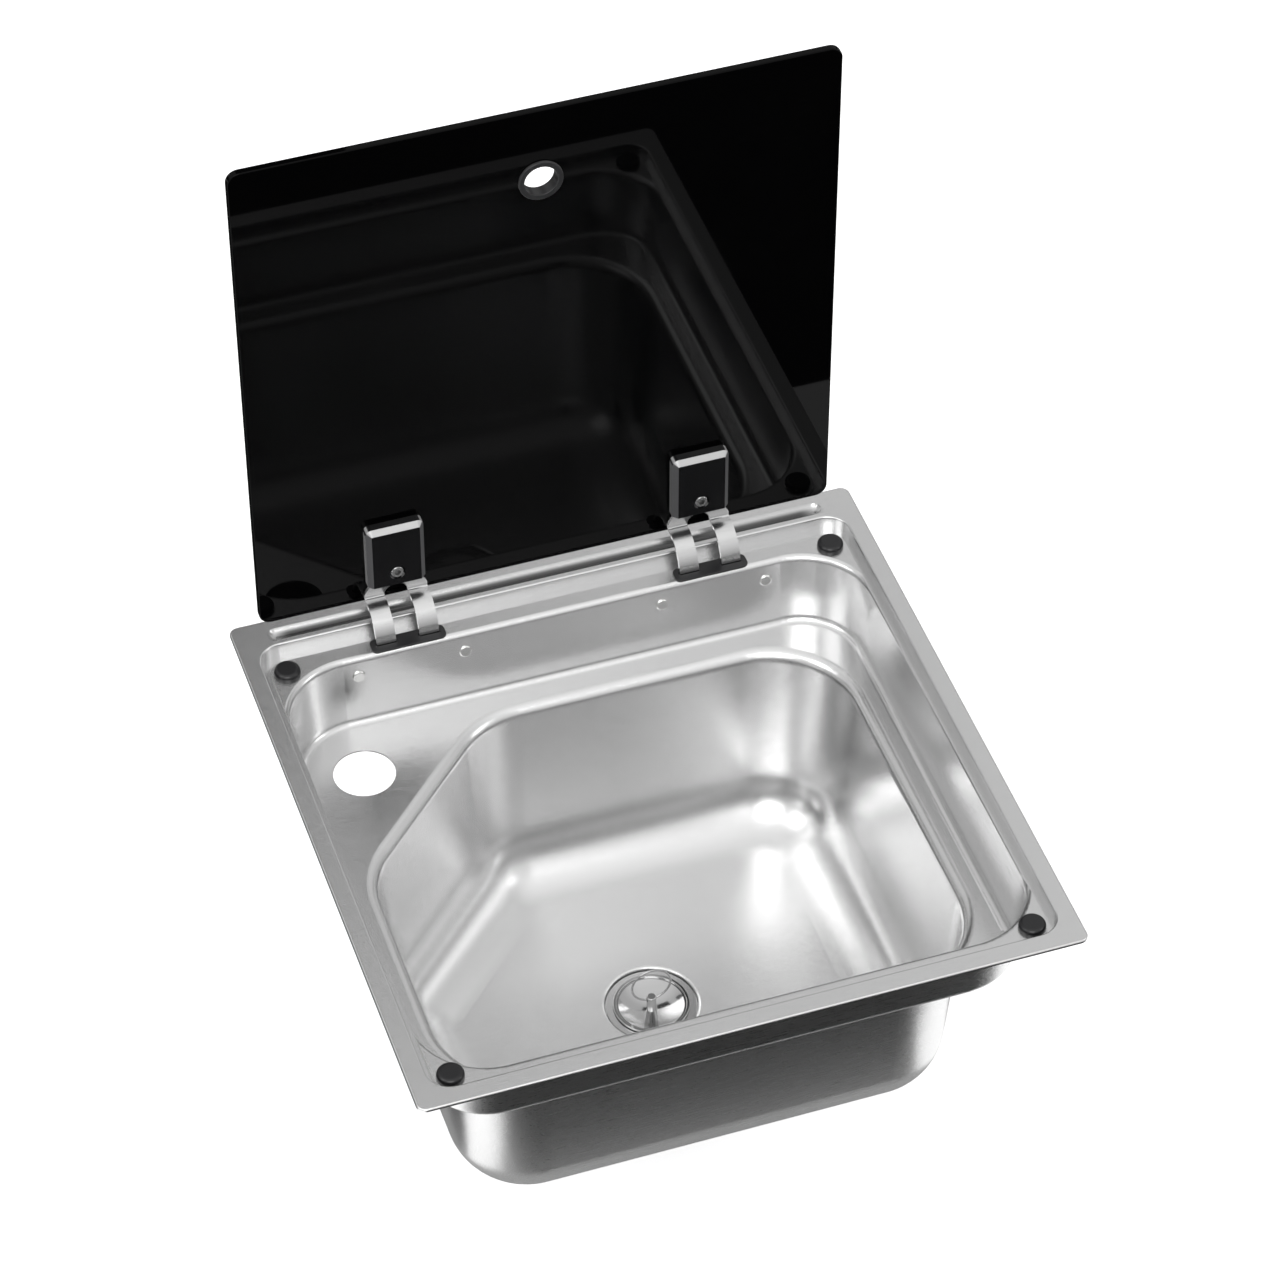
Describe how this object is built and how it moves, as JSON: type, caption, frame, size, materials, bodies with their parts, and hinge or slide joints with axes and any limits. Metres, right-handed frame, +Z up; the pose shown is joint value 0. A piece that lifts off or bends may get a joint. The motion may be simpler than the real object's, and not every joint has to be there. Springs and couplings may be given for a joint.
{
  "type": "drop-in sink with hinged glass lid",
  "caption": "Square drop-in steel sink for a camper with a recessed rim, cut corner with tap hole, lift-out plug and a black glass lid on pin hinges.",
  "frame": {"origin": "middle of the rim, on the worktop plane that the rim's lip and seal rest on", "axes": "+X right, +Y back towards the hinges, +Z up; the lid is modelled open"},
  "size_m": [0.42, 0.42, 0.6654],
  "materials": {
    "sink_steel": "brushed stainless sheet with a satin grain",
    "waste_steel": "stainless, satin",
    "polished_steel": "polished stainless",
    "hinge_steel": "fine satin stainless",
    "zinc_steel": "bright zinc plate",
    "rivet_steel": "stainless rivets, smooth",
    "screw_steel": "black oxide steel, satin",
    "black_glass": "black toughened glass, polished",
    "black_plastic": "black moulding, semi gloss",
    "liner_plastic": "black moulding, satin",
    "black_rubber": "black rubber",
    "seal_foam": "closed-cell foam, matt",
    "nylon": "natural nylon",
    "waste_plastic": "black polypropylene"
  },
  "bodies": {
    "sink": {"sink_bowl": "sink_steel", "waste_flange": "waste_steel", "waste_screw": "waste_steel", "hinge_bracket_left": "zinc_steel", "hinge_bracket_right": "zinc_steel", "hinge_pin_left": "zinc_steel", "hinge_pin_right": "zinc_steel", "hinge_spacer_left": "zinc_steel", "hinge_spacer_right": "zinc_steel", "pin_clips": "zinc_steel", "disc_springs": "zinc_steel", "bracket_rivets": "rivet_steel", "slot_escutcheon_left": "liner_plastic", "slot_escutcheon_right": "liner_plastic", "lid_bumpers": "black_rubber", "waste_upper_seal": "black_rubber", "waste_lower_seal": "black_rubber", "tail_washer": "black_rubber", "rim_seal": "seal_foam", "hinge_washers": "nylon", "waste_body": "waste_plastic", "waste_tail": "waste_plastic", "tail_nut": "waste_plastic"},
    "lid": {"lid_glass": "black_glass", "finger_hole_grommet": "liner_plastic", "hinge_screws": "screw_steel", "glass_bushes": "liner_plastic", "hinge_leaf_left": "hinge_steel", "hinge_leaf_right": "hinge_steel", "hinge_cover_left": "black_plastic", "hinge_cover_right": "black_plastic", "hinge_gasket_left": "black_rubber", "hinge_gasket_right": "black_rubber", "hinge_pad_left": "black_rubber", "hinge_pad_right": "black_rubber", "hinge_backplate_left": "black_plastic", "hinge_backplate_right": "black_plastic"},
    "plug": {"plug_dish": "polished_steel", "plug_seal": "black_rubber", "plug_post": "polished_steel"},
    "plug_loop": {"plug_ring": "polished_steel"}
  },
  "joints": [
    {"name": "lid_swing", "type": "hinge", "parent": "sink", "child": "lid", "pos_m": [0, 0.19205, -0.00615], "axis": [1, 0, 0], "range_deg": [0, 90]},
    {"name": "plug_lift", "type": "slide", "parent": "sink", "child": "plug", "axis": [0, 0, 1], "range_m": [0, 0.06]},
    {"name": "loop_swing", "type": "hinge", "parent": "plug", "child": "plug_loop", "pos_m": [0, -0.012, -0.1908], "axis": [1, 0, 0], "range_deg": [-94, 98]}
  ]
}
